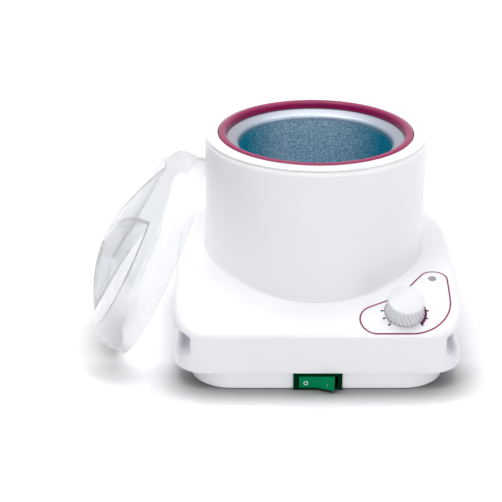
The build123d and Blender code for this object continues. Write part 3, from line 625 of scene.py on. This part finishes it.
rocker = {"bezel": "00301a", "colour": "007f50", "ring": "dfeee4", "bar": "6fb08c", "lens": "95989d",
          "lean": 12.0, "valley": 3.0 * mm, "middle": 5.0 * mm, "markAt": 6.8 * mm, "ringRadius": 1.15 * mm,
          "barHalf": 0.9 * mm, "stroke": 0.22 * mm}
rockerPivot = np.array(joints["rocker_tilt"]["pos_m"])

bezelGreen = plastic("bezelGreen", rocker["bezel"], roughness=0.5, coat=0.0, mottle=0.1, gloss=0.0)
rockerGreen = plastic("rockerGreen", rocker["colour"], roughness=0.35, coat=0.0, mottle=0.1, gloss=0.03)
dress("switch_bezel", bezelGreen)
dress("switch_rocker", rockerGreen)
ringInk, barInk = [plastic(name, rocker[colour], roughness=0.4, coat=0.0, mottle=0.04, gloss=0.2)
                   for name, colour in (("switchMarkInk", "ring"), ("switchBarInk", "bar"))]


def onRocker(side):
    # one half of the rocker's face, side -1 or 1: x = side * out * cos(lean), y = -valley - out * sin(lean),
    # z = middle + up, then turned by the lean about the pivot, because one end is pressed in
    tilt = math.radians(rocker["lean"])

    def place(out, up, lift=0.0):
        x = side * (out * math.cos(tilt) - lift * math.sin(tilt))
        y = -rocker["valley"] - out * math.sin(tilt) - lift * math.cos(tilt)
        turned = np.stack([x * math.cos(tilt) + y * math.sin(tilt), y * math.cos(tilt) - x * math.sin(tilt),
                           up + 0 * x], axis=-1)
        return turned + np.array([rockerPivot[0], rockerPivot[1], rocker["middle"]])
    return place


turn = np.linspace(0, 2 * math.pi, 48, endpoint=False)
ribbon("switchRingMark", rocker["markAt"] + rocker["ringRadius"] * np.cos(turn),
       rocker["ringRadius"] * np.sin(turn), rocker["stroke"], onRocker(-1), ringInk, "rocker", closed=True)
barUp = np.linspace(-rocker["barHalf"], rocker["barHalf"], 6)
ribbon("switchBarMark", rocker["markAt"] + 0 * barUp, barUp, rocker["stroke"], onRocker(1), barInk, "rocker")

dress("lamp_lens", plastic("lampLens", rocker["lens"], roughness=0.2, coat=0.2, mottle=0.05))


# lid: clear plastic, a little milky

lid = {"tint": "f1f2f4", "cloud": "eef0f2", "cloudScale": 25.0, "roughness": 0.04, "clear": 0.93,
       "ior": 1.49, "coat": 0.3, "coatRoughness": 0.03, "rippleScale": 60.0, "rippleDepth": 0.06 * mm,
       "rippleStrength": 0.2, "cover": 0.86, "shade": 0.15, "smoothing": 22}


def lidMaterial():
    material, tree, shader = newMaterial("clearLid")
    cloud = noiseNode(tree, lid["cloudScale"], detail=2.0)
    tree.links.new(rampNode(tree, cloud, hexColour(lid["cloud"]), hexColour(lid["tint"])),
                   shader.inputs["Base Color"])
    ripple = noiseNode(tree, lid["rippleScale"], detail=1.0)
    addBump(tree, shader, ripple, lid["rippleDepth"], lid["rippleStrength"])
    shader.inputs["Roughness"].default_value = lid["roughness"]
    shader.inputs["Transmission Weight"].default_value = lid["clear"]
    shader.inputs["IOR"].default_value = lid["ior"]
    shader.inputs["Coat Weight"].default_value = lid["coat"]
    shader.inputs["Coat Roughness"].default_value = lid["coatRoughness"]
    # a thin clear wall lets most of the light through, so the lid throws only a faint shadow
    path = tree.nodes.new("ShaderNodeLightPath")
    seen = rangeNode(tree, path.outputs["Is Shadow Ray"], 0.0, 1.0, lid["cover"], lid["shade"])
    tree.links.new(seen, shader.inputs["Alpha"])
    return material


dress("lid_dome", lidMaterial(), angle=lid["smoothing"])
print("scene: switch, lamp and lid")


# world and floor: the floor is lifted to white from liftFrom to liftTo metres away from the middle, and the
# painted contact shadow goes from frontDepth at y = frontEdge to sideDepth at y = sideEdge

studio = {"worldFill": 0.49, "worldTint": "f5f5f9", "floorColour": "f6f6f7", "floorHalf": 6.0,
          "floorDrop": 0.1 * mm, "floorLift": 0.6, "liftFrom": 0.14, "liftTo": 1.0, "sideLift": 0.1,
          "contactReach": 24 * mm, "frontDepth": 2.2, "sideDepth": 0.5, "frontEdge": -98 * mm,
          "sideEdge": -55 * mm, "floorRoughness": 0.9, "floorSpecular": 0.1}


def raySwitch(tree):
    # 1 for rays straight from the camera, off a shiny surface or through a clear one
    path = tree.nodes.new("ShaderNodeLightPath")
    total = path.outputs["Is Camera Ray"]
    for kind in ("Is Glossy Ray", "Is Transmission Ray"):
        total = mathNode(tree, "ADD", total, path.outputs[kind], clamp=True)
    return total


def makeWorld():
    # plain white behind the scene, a soft grey fill for the light
    world = bpy.data.worlds.new("studioWorld")
    world.use_nodes = True
    bpy.context.scene.world = world
    tree = world.node_tree
    tree.nodes.clear()
    out = tree.nodes.new("ShaderNodeOutputWorld")
    mix = tree.nodes.new("ShaderNodeMixShader")
    fill = tree.nodes.new("ShaderNodeBackground")
    fill.inputs[0].default_value = hexColour(studio["worldTint"])
    fill.inputs[1].default_value = studio["worldFill"]
    white = tree.nodes.new("ShaderNodeBackground")
    white.inputs[0].default_value = (1, 1, 1, 1)
    white.inputs[1].default_value = 1.0
    tree.links.new(raySwitch(tree), mix.inputs[0])
    tree.links.new(fill.outputs[0], mix.inputs[1])
    tree.links.new(white.outputs[0], mix.inputs[2])
    tree.links.new(mix.outputs[0], out.inputs[0])


def makeFloor():
    # matt white, with a lift and a painted contact shadow close by that only the camera sees
    material, tree, shader = newMaterial("studioFloor")
    shader.inputs["Roughness"].default_value = studio["floorRoughness"]
    shader.inputs["Specular IOR Level"].default_value = studio["floorSpecular"]
    shader.inputs["Emission Color"].default_value = (1, 1, 1, 1)
    visible = raySwitch(tree)
    distance = tree.nodes.new("ShaderNodeVectorMath")
    distance.operation = "LENGTH"
    tree.links.new(objectPoint(tree), distance.inputs[0])
    away = rangeNode(tree, distance.outputs["Value"], studio["liftFrom"], studio["liftTo"], 0.0,
                     studio["floorLift"])
    # painted contact shadow: what stands on the floor darkens it within contactReach, deeper in front than
    # beside it
    nearby = tree.nodes.new("ShaderNodeAmbientOcclusion")
    nearby.samples = 16
    nearby.inputs["Distance"].default_value = studio["contactReach"]
    nearby.inputs["Color"].default_value = (1, 1, 1, 1)
    beside = rangeNode(tree, objectAxes(tree)["Y"], studio["frontEdge"], studio["sideEdge"])
    depth = rangeNode(tree, beside, 0.0, 1.0, studio["frontDepth"], studio["sideDepth"])
    contact = mathNode(tree, "POWER", nearby.outputs["AO"], depth)
    shade = rangeNode(tree, visible, 0.0, 1.0, 1.0, contact)
    tree.links.new(mixColours(tree, shade, (0, 0, 0, 1), hexColour(studio["floorColour"])),
                   shader.inputs["Base Color"])
    # painted light: the floor glows sideLift brighter beside and behind the object, which thins its shadow
    # there
    lift = mathNode(tree, "ADD", away, mathNode(tree, "MULTIPLY", beside, studio["sideLift"]))
    tree.links.new(mathNode(tree, "MULTIPLY", lift, visible), shader.inputs["Emission Strength"])
    half = studio["floorHalf"]
    low = -studio["floorDrop"]
    mesh = bpy.data.meshes.new("studioFloor")
    mesh.from_pydata([(-half, -half, low), (half, -half, low), (half, half, low), (-half, half, low)], [],
                     [(0, 1, 2, 3)])
    mesh.materials.append(material)
    floor = bpy.data.objects.new("studioFloor", mesh)
    bpy.context.scene.collection.objects.link(floor)


makeWorld()
makeFloor()


# lamps and camera: each softbox's place, target, width and height, power

lamps = {"overheadBox": ((0.0, 0.1, 1.12), (0, 0, 0.05), (1.3, 1.1), 7.9),
         "windowBox": ((-0.39, -0.40, 1.22), (-0.09, -0.07, 0.1), (0.35, 0.5), 2.3),
         "frontBox": ((0.15, -1.0, 0.83), (-0.09, -0.08, 0.1), (0.3, 0.2), 1.9),
         "sideBox": ((0.9, -0.45, 0.5), (0, 0, 0.08), (0.5, 0.7), 1.1)}


def softbox(name, place, target, size, power):
    lamp = bpy.data.lights.new(name, "AREA")
    lamp.shape = "RECTANGLE"
    lamp.size, lamp.size_y = size
    lamp.energy = power
    box = bpy.data.objects.new(name, lamp)
    box.location = place
    box.rotation_euler = (Vector(target) - Vector(place)).to_track_quat("-Z", "Y").to_euler()
    bpy.context.scene.collection.objects.link(box)


for name, lamp in lamps.items():
    softbox(name, *lamp)

view = {"place": (-0.04077, -0.8644, 0.4410), "pitch": 65.75, "lens": 103.88, "sensor": 36.0}
camera = bpy.data.cameras.new("photoCamera")
camera.sensor_width = view["sensor"]
camera.lens = view["lens"]
shot = bpy.data.objects.new("photoCamera", camera)
shot.location = view["place"]
shot.rotation_euler = (math.radians(view["pitch"]), 0, 0)
bpy.context.scene.collection.objects.link(shot)
bpy.context.scene.camera = shot
bpy.context.scene.view_settings.view_transform = "Standard"

print("scene: floor, lamps and camera")
